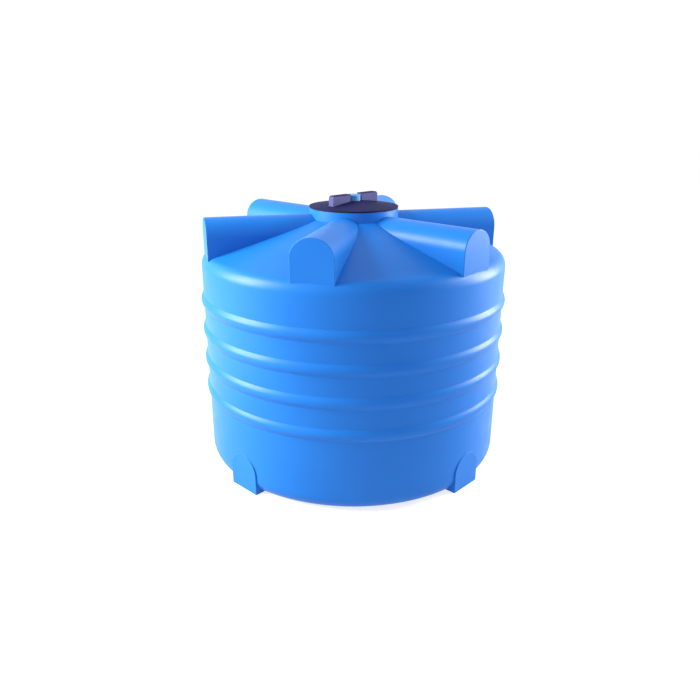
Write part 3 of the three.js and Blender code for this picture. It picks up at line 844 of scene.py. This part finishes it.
def stem_packing():
    packing = ring(STEM_HOLE_R, PACKING_R - GAP, PACKING_FLOOR + GAP, SEAL_TOP, 0.4 * MM)
    packing.name = "stem_packing"
    finished(upright(packing), "tank", ["stem_seal"], "white_seal")

    gland = disc(PACKING_R - GAP, SEAL_TOP + GAP, BOSS_TOP + 1 * MM)
    gland.name = "packing_gland"
    combine(gland, [hexagon(BOSS_R, BOSS_TOP + GAP, LEVER_LOW - 1 * MM)], "UNION")
    combine(gland, [bore(STEM_HOLE_R, SEAL_TOP, LEVER_LOW, 0.3 * MM)], "DIFFERENCE")
    finished(upright(gland), "tank", ["gland_nut"], "valve_brass")


# ---- Lever: it lies across the pipe, towards +X, when the valve is shut ----

LEVER_REACH = 118 * MM
LEVER_HALF_WIDTH = 9 * MM
LEVER_RISE = 14 * MM
LEVER_HUB_R = 13 * MM
STEP_START = 28 * MM
STEP_END = 40 * MM
GRIP_FROM = 52 * MM
GRIP_THICK = 3 * MM
LEVER_TOP = LEVER_LOW + LEVER_THICK
GRIP_RIBS = 7
GRIP_STEPS = 60
GRIP_EDGE = 3 * MM
RIB_DEPTH = 0.7 * MM
MOUTH_ROLL = 1.2 * MM  # how much thinner the grip is at its mouth
MOUTH_STEPS = 3
GRIP_END_STEPS = 12
GRIP_END_SWEEP = 87  # degrees; at 90 the end would close to a point
GRIP_END_POWER = 0.35  # 1 would make the end round from the side, less makes it blunter


def lever_outline(half_width, start, end, steps=20):
    """A strip along X, seen from above, with a round end."""
    points = [(start, -half_width)]
    for i in range(steps + 1):
        a = math.radians(-90 + 180 * i / steps)
        points.append((end - half_width + half_width * math.cos(a), half_width * math.sin(a)))
    return points + [(start, half_width)]


def lever():
    """Sheet steel, cranked up once, with a round hub."""
    rise = LEVER_RISE
    under = [(-LEVER_HUB_R, 0), (STEP_START, 0), (STEP_END, rise), (LEVER_REACH, rise)]
    over = [(x - 1 * MM, z + LEVER_THICK) for x, z in reversed(under[1:3])]
    side = [*under, (LEVER_REACH, rise + LEVER_THICK), *over, (-LEVER_HUB_R, LEVER_THICK)]
    across = LEVER_HUB_R + 1 * MM
    bent = softened(side, 3 * MM, closed=True)
    sections = [[(x, y, LEVER_LOW + z) for x, z in bent] for y in (-across, across)]
    plan_low, plan_high = LEVER_LOW - 1 * MM, LEVER_TOP + rise + 1 * MM
    plan = disc(LEVER_HUB_R, plan_low, plan_high)
    arm = prism("arm", lever_outline(LEVER_HALF_WIDTH, 0, LEVER_REACH), plan_low, plan_high)
    combine(plan, [arm], "UNION")
    plate = combine(loft("steel_lever", sections), [plan], "INTERSECT")
    combine(plate, [disc(STEM_TIP_R + GAP, LEVER_LOW - 1 * MM, LEVER_TOP + 1 * MM)], "DIFFERENCE")
    rounded_edges(plate, 0.5 * MM)
    finished(upright(plate), "valve_handle", ["valve_lever"], "lever_steel")


def grip_section(x, half_width, low, high):
    """An upright rounded outline across the lever at x."""
    corners = [(-half_width, low), (half_width, low), (half_width, high), (-half_width, high)]
    return [(x, y, z) for y, z in softened_upright(corners, GRIP_EDGE)]


def softened_upright(corners, edge):
    """Like softened, but for outlines that cross the axis: moved clear of it, rounded and moved back."""
    shift = 1.0
    clear = [(y + shift, z) for y, z in corners]
    return [(y - shift, z) for y, z in softened(clear, edge, closed=True, steps=5)]


def lever_grip():
    """A dipped sleeve with a rounded end, a rolled mouth and shallow ribs under the fingers."""
    low = LEVER_LOW + LEVER_RISE - GRIP_THICK
    high = LEVER_TOP + LEVER_RISE + GRIP_THICK
    middle, half_height = (low + high) / 2, (high - low) / 2
    end = LEVER_REACH + GRIP_THICK
    half_width = LEVER_HALF_WIDTH + GRIP_THICK
    straight = end - half_width
    sections = []
    for i in range(GRIP_STEPS + 1):
        x = GRIP_FROM + (straight - GRIP_FROM) * i / GRIP_STEPS
        pull = RIB_DEPTH * (0.5 - 0.5 * math.cos(2 * math.pi * GRIP_RIBS * i / GRIP_STEPS))
        mouth = MOUTH_ROLL * max(0, 1 - i / MOUTH_STEPS) ** 2
        half = half_height - pull - mouth
        sections.append(grip_section(x, half_width - mouth, middle - half, middle + half))
    for i in range(1, GRIP_END_STEPS + 1):
        a = math.radians(GRIP_END_SWEEP * i / GRIP_END_STEPS)
        half = half_height * math.cos(a) ** GRIP_END_POWER
        x = straight + half_width * math.sin(a)
        sections.append(grip_section(x, half_width * math.cos(a), middle - half, middle + half))
    sleeve = loft("dipped_grip", sections)
    hollow = prism(
        "hollow",
        lever_outline(LEVER_HALF_WIDTH + GAP, GRIP_FROM - 5 * MM, LEVER_REACH + GAP),
        LEVER_LOW + LEVER_RISE - GAP,
        LEVER_TOP + LEVER_RISE + GAP,
    )
    combine(sleeve, [hollow], "DIFFERENCE")
    finished(upright(sleeve), "valve_handle", ["lever_grip"], "grip_red", angle=50)


def lever_nut():
    fixing = nut(8 * MM, STEM_TIP_R + GAP, LEVER_TOP + GAP, LEVER_TOP + 6 * MM)
    fixing.name = "lever_fixing_nut"
    finished(upright(fixing), "valve_handle", ["lever_nut"], "lever_steel")


# ---- Hose tail ----

HOSE_SEAL_THICK = 2.5 * MM
TAIL_FLANGE_R = PIPE_THREAD_R - GAP
TAIL_BORE_R = 10 * MM
TAIL_R = 12.5 * MM
BARB_R = 14 * MM
BARB_COUNT = 4
BARB_PITCH = 9 * MM
SEAL_LOW = END_TIP + GAP
TAIL_LOW = SEAL_LOW + HOSE_SEAL_THICK + GAP
TAIL_FLANGE_TOP = TAIL_LOW + 4 * MM
BARB_START = TAIL_FLANGE_TOP + 12 * MM


def hose_connection():
    seal = ring(WATERWAY_R, TAIL_FLANGE_R, SEAL_LOW, SEAL_LOW + HOSE_SEAL_THICK, 0.6 * MM)
    seal.name = "hose_seal_ring"
    finished(outlet_place(seal), "tank", ["hose_seal"], "black_rubber")

    barbs = []
    for i in range(BARB_COUNT):
        low = BARB_START + BARB_PITCH * i
        barbs += [(TAIL_R, low), (BARB_R, low + 0.5 * MM), (TAIL_R, low + BARB_PITCH - 1 * MM)]
    tip = barbs[-1][1] + 2 * MM
    profile = [
        (TAIL_BORE_R, TAIL_LOW),
        (TAIL_FLANGE_R, TAIL_LOW),
        (TAIL_FLANGE_R, TAIL_FLANGE_TOP),
        (TAIL_R, TAIL_FLANGE_TOP),
        *barbs,
        (TAIL_R, tip),
        (TAIL_BORE_R, tip),
    ]
    tail = turned("barbed_tail", softened(profile, 0.6 * MM, closed=True), FITTING_STEPS)
    finished(outlet_place(tail), "tank", ["hose_tail"], "black_plastic")

    low = END_FLANGE + END_HEX_THICK + 3 * MM
    lip = TAIL_FLANGE_TOP + GAP
    high = lip + 4 * MM
    cuts = [
        disc(PIPE_THREAD_R + 2 * GAP, low - 1 * MM, lip),
        bore(BARB_R + 0.5 * MM, lip - 2 * MM, high),
    ]
    swivel = combine(hexagon(END_HEX_R, low, high), cuts, "DIFFERENCE")
    swivel.name = "swivel_nut"
    finished(outlet_place(swivel), "tank", ["hose_nut"], "black_plastic")


# ---- Materials ----

def noise(tree, place, size, detail=3):
    """Noise whose patches are about `size` metres across."""
    node = tree.nodes.new("ShaderNodeTexNoise")
    node.inputs["Scale"].default_value = 1 / size
    node.inputs["Detail"].default_value = detail
    tree.links.new(place, node.inputs["Vector"])
    return node.outputs["Fac"]


SHADE_ENDS = (0.35, 0.65)  # noise values that give the dark and the light shade
ROUGH_ENDS = (0.3, 0.7)  # noise values that give the least and the greatest roughness


def shades(tree, drift, light, dark):
    """A colour that goes from dark to light with the drift, a noise."""
    ramp = tree.nodes.new("ShaderNodeValToRGB")
    ramp.color_ramp.elements[0].position = SHADE_ENDS[0]
    ramp.color_ramp.elements[0].color = (*dark, 1)
    ramp.color_ramp.elements[1].position = SHADE_ENDS[1]
    ramp.color_ramp.elements[1].color = (*light, 1)
    tree.links.new(drift, ramp.inputs["Fac"])
    return ramp.outputs["Color"]


PAINTED_LIGHT_FOOT_BLEND = (0.5 * MM, 2 * MM)  # heights above the cover over which the painted light on the wings' upright sides comes in
PAINTED_LIGHT_TOP_BLEND = (4 * MM, 2 * MM)  # depths below the wings' top over which that painted light goes out


def painted_lit_side_mask(tree, place):
    """Mask of painted light: 1 on the upright sides of the lid's wings, which are painted paler as if lit
    from the side, 0 along their tops, on the cover and below it.
    """
    parts = tree.nodes.new("ShaderNodeSeparateXYZ")
    tree.links.new(place, parts.inputs["Vector"])
    flat = tree.nodes.new("ShaderNodeVectorMath")
    flat.operation = "MULTIPLY"
    flat.inputs[1].default_value = (1, 1, 0)
    tree.links.new(place, flat.inputs[0])
    distance = tree.nodes.new("ShaderNodeVectorMath")
    distance.operation = "LENGTH"
    tree.links.new(flat.outputs["Vector"], distance.inputs[0])
    height = tree.nodes.new("ShaderNodeMath")
    height.operation = "MULTIPLY_ADD"
    height.inputs[1].default_value = (cover_height(0) - cover_height(LID_R)) / LID_R
    tree.links.new(distance.outputs["Value"], height.inputs[0])
    tree.links.new(parts.outputs["Z"], height.inputs[2])
    share = tree.nodes.new("ShaderNodeMapRange")
    share.inputs["From Min"].default_value = LID_APEX_Z + PAINTED_LIGHT_FOOT_BLEND[0]
    share.inputs["From Max"].default_value = LID_APEX_Z + PAINTED_LIGHT_FOOT_BLEND[1]
    tree.links.new(height.outputs["Value"], share.inputs["Value"])
    below_top = tree.nodes.new("ShaderNodeMapRange")
    below_top.inputs["From Min"].default_value = WING_TOP_Z - PAINTED_LIGHT_TOP_BLEND[1]
    below_top.inputs["From Max"].default_value = WING_TOP_Z - PAINTED_LIGHT_TOP_BLEND[0]
    tree.links.new(parts.outputs["Z"], below_top.inputs["Value"])
    both = tree.nodes.new("ShaderNodeMath")
    both.operation = "MULTIPLY"
    tree.links.new(share.outputs["Result"], both.inputs[0])
    tree.links.new(below_top.outputs["Result"], both.inputs[1])
    return both.outputs["Value"]


def finish(name, light, dark, patch, rough, relief, metallic=0, specular=0.5, stretch=(1, 1, 1), painted_lit_side_shades=None):
    """A surface whose colour drifts between two shades over patches, and its roughness over smaller ones.
    relief lists (size, depth) pairs of the bumps it carries, coarse first, all in metres.
    The last argument gives the light and dark shade painted on the upright sides of the lid's wings: painted
    light, paler than the tops and the cover."""
    material = bpy.data.materials.new(name)
    material.use_nodes = True
    tree = material.node_tree
    shader = tree.nodes["Principled BSDF"]
    shader.inputs["Metallic"].default_value = metallic
    shader.inputs["Specular IOR Level"].default_value = specular
    coordinates = tree.nodes.new("ShaderNodeTexCoord")
    mapping = tree.nodes.new("ShaderNodeMapping")
    mapping.inputs["Scale"].default_value = stretch
    tree.links.new(coordinates.outputs["Object"], mapping.inputs["Vector"])
    place = mapping.outputs["Vector"]

    drift = noise(tree, place, patch)
    colour = shades(tree, drift, light, dark)
    # Painted light: the upright sides of the lid's wings get a paler colour, as if lit from the side.
    if painted_lit_side_shades:
        mix = tree.nodes.new("ShaderNodeMixRGB")
        tree.links.new(painted_lit_side_mask(tree, place), mix.inputs["Fac"])
        tree.links.new(colour, mix.inputs["Color1"])
        tree.links.new(shades(tree, drift, *painted_lit_side_shades), mix.inputs["Color2"])
        colour = mix.outputs["Color"]
    tree.links.new(colour, shader.inputs["Base Color"])

    spread = tree.nodes.new("ShaderNodeMapRange")
    spread.inputs["From Min"].default_value = ROUGH_ENDS[0]
    spread.inputs["From Max"].default_value = ROUGH_ENDS[1]
    spread.inputs["To Min"].default_value = rough[0]
    spread.inputs["To Max"].default_value = rough[1]
    tree.links.new(noise(tree, place, patch / 5, 5), spread.inputs["Value"])
    tree.links.new(spread.outputs["Result"], shader.inputs["Roughness"])

    normal = None
    for size, depth in relief:
        bump = tree.nodes.new("ShaderNodeBump")
        bump.inputs["Strength"].default_value = 1
        bump.inputs["Distance"].default_value = depth
        tree.links.new(noise(tree, place, size), bump.inputs["Height"])
        if normal:
            tree.links.new(normal, bump.inputs["Normal"])
        normal = bump.outputs["Normal"]
    tree.links.new(normal, shader.inputs["Normal"])
    return material


finishes = {
    "tank_blue": finish(
        "blue_polyethylene",
        light=(0.008, 0.122, 0.5),
        dark=(0.006, 0.113, 0.48),
        patch=0.35,
        rough=(0.36, 0.42),
        relief=[(0.18, 0.25 * MM), (0.004, 0.02 * MM)],
        specular=0.165,
    ),
    # A paler copy of the tank's blue for the breather cap: painted light, standing in for the light that
    # falls on it.
    "cap_painted_lit_blue": finish(
        "tank_blue_painted_lighter",
        light=(0.075, 0.23, 0.56),
        dark=(0.065, 0.205, 0.52),
        patch=0.02,
        rough=(0.5, 0.6),
        relief=[(0.002, 0.02 * MM)],
        specular=0.1,
    ),
    "lid_purple": finish(
        "moulded_lid_plastic",
        light=(0.0158, 0.0158, 0.07),
        dark=(0.0136, 0.0136, 0.062),
        # painted light: the paler shade painted on the upright sides of the lid's wings
        painted_lit_side_shades=((0.076, 0.078, 0.22), (0.066, 0.067, 0.2)),
        patch=0.06,
        rough=(0.45, 0.55),
        relief=[(0.002, 0.03 * MM)],
        specular=0.012,
    ),
    "black_rubber": finish(
        "black_rubber",
        light=(0.016, 0.016, 0.018),
        dark=(0.009, 0.009, 0.01),
        patch=0.01,
        rough=(0.75, 0.9),
        relief=[(0.0012, 0.03 * MM)],
        specular=0.3,
    ),
    "black_plastic": finish(
        "glass_filled_plastic",
        light=(0.02, 0.02, 0.022),
        dark=(0.012, 0.012, 0.014),
        patch=0.02,
        rough=(0.42, 0.58),
        relief=[(0.0008, 0.02 * MM)],
    ),
    "valve_brass": finish(
        "forged_brass",
        light=(0.62, 0.43, 0.15),
        dark=(0.43, 0.29, 0.1),
        patch=0.012,
        rough=(0.26, 0.44),
        relief=[(0.006, 0.08 * MM), (0.0009, 0.02 * MM)],
        metallic=1,
    ),
    "white_seal": finish(
        "white_seal",
        light=(0.8, 0.79, 0.75),
        dark=(0.72, 0.71, 0.67),
        patch=0.01,
        rough=(0.4, 0.5),
        relief=[(0.001, 0.01 * MM)],
    ),
    "ball_chrome": finish(
        "chromed_ball",
        light=(0.72, 0.72, 0.74),
        dark=(0.62, 0.62, 0.64),
        patch=0.012,
        rough=(0.05, 0.11),
        relief=[(0.004, 0.005 * MM)],
        metallic=1,
    ),
    "lever_steel": finish(
        "brushed_zinc_steel",
        light=(0.56, 0.57, 0.58),
        dark=(0.4, 0.41, 0.43),
        patch=0.03,
        rough=(0.28, 0.42),
        relief=[(0.004, 0.012 * MM)],
        metallic=1,
        stretch=(1, 9, 9),
    ),
    "grip_red": finish(
        "dipped_vinyl",
        light=(0.42, 0.012, 0.01),
        dark=(0.33, 0.009, 0.008),
        patch=0.02,
        rough=(0.3, 0.42),
        relief=[(0.008, 0.08 * MM), (0.001, 0.015 * MM)],
    ),
}


# ---- The pieces ----

tank_moulding()
lid()
breather_cap()
lid_gasket()
outlet_seals()
tank_connector()
valve_casting()
valve_seats()
valve_tailpiece()
ball()
stem()
stem_packing()
lever()
lever_grip()
lever_nut()
hose_connection()


# ---- Stage, camera and lights ----

FLOOR_REACH = 40
FLOOR_GREY = 0.3
FLOOR_GLOW = 0.74


def white_floor():
    """A floor that gives off most of its light itself, so that it looks white and shows almost no shadow."""
    far = FLOOR_REACH
    corners = [(-far, -far, 0), (far, -far, 0), (far, far, 0), (-far, far, 0)]
    floor = mesh_object("floor", corners, [(0, 1, 2, 3)])
    material = bpy.data.materials.new("white_floor")
    material.use_nodes = True
    shader = material.node_tree.nodes["Principled BSDF"]
    shader.inputs["Base Color"].default_value = (FLOOR_GREY, FLOOR_GREY, FLOOR_GREY, 1)
    shader.inputs["Roughness"].default_value = 1
    shader.inputs["Specular IOR Level"].default_value = 0
    shader.inputs["Emission Color"].default_value = (1, 1, 1, 1)
    shader.inputs["Emission Strength"].default_value = FLOOR_GLOW
    floor.data.materials.append(material)


WORLD_STRENGTH = 1.04
ZENITH_STRENGTH = 0.75
DIMMING_STARTS = 0.2  # the sine of the elevation above which the world gets dimmer


def white_world():
    """White all round, and dimmer towards the zenith."""
    world = bpy.data.worlds.new("studio")
    world.use_nodes = True
    tree = world.node_tree
    tree.nodes["Background"].inputs["Color"].default_value = (1, 1, 1, 1)
    direction = tree.nodes.new("ShaderNodeTexCoord")
    parts = tree.nodes.new("ShaderNodeSeparateXYZ")
    tree.links.new(direction.outputs["Generated"], parts.inputs["Vector"])
    dimming = tree.nodes.new("ShaderNodeMapRange")
    dimming.inputs["From Min"].default_value = DIMMING_STARTS
    dimming.inputs["From Max"].default_value = 1
    dimming.inputs["To Min"].default_value = WORLD_STRENGTH
    dimming.inputs["To Max"].default_value = ZENITH_STRENGTH
    tree.links.new(parts.outputs["Z"], dimming.inputs["Value"])
    tree.links.new(dimming.outputs["Result"], tree.nodes["Background"].inputs["Strength"])
    bpy.context.scene.world = world


CAMERA_AZIMUTH = 43.19  # degrees from -Y towards +X


def place_camera():
    distance, height = 2.646, 1.364
    pitch, yaw, roll = 19.86, -0.253, 0.305
    data = bpy.data.cameras.new("camera")
    data.lens = 34.09
    data.sensor_width = 36
    camera = bpy.data.objects.new("camera", data)
    bpy.context.scene.collection.objects.link(camera)
    azimuth = math.radians(CAMERA_AZIMUTH)
    camera.location = (distance * math.sin(azimuth), -distance * math.cos(azimuth), height)
    look = Matrix.Rotation(azimuth - math.radians(yaw), 3, "Z")
    tilt = Matrix.Rotation(math.radians(90 - pitch), 3, "X")
    spin = Matrix.Rotation(math.radians(roll), 3, "Z")
    camera.rotation_euler = (look @ tilt @ spin).to_euler()
    bpy.context.scene.camera = camera


LIGHT_COLOUR = (1, 1, 0.78)
AIM_HEIGHT = 0.55  # about half the tank's height


def soft_light(name, angle, distance, height, size, watts):
    """An area light aimed at the tank's middle; angle is from the camera's azimuth."""
    data = bpy.data.lights.new(name, "AREA")
    data.shape = "RECTANGLE"
    data.size, data.size_y = size
    data.energy = watts
    data.color = LIGHT_COLOUR
    light = bpy.data.objects.new(name, data)
    bpy.context.scene.collection.objects.link(light)
    a = math.radians(CAMERA_AZIMUTH + angle)
    light.location = (distance * math.sin(a), -distance * math.cos(a), height)
    aim = Vector((0, 0, AIM_HEIGHT)) - light.location
    light.rotation_euler = aim.to_track_quat("-Z", "Y").to_euler()


white_floor()
white_world()
place_camera()
soft_light("left_key", angle=-79, distance=3.2, height=1.95, size=(1.6, 2.2), watts=400)
soft_light("right_key", angle=103, distance=3.1, height=1.6, size=(1.2, 2.2), watts=225)
bpy.context.scene.view_settings.view_transform = "Standard"
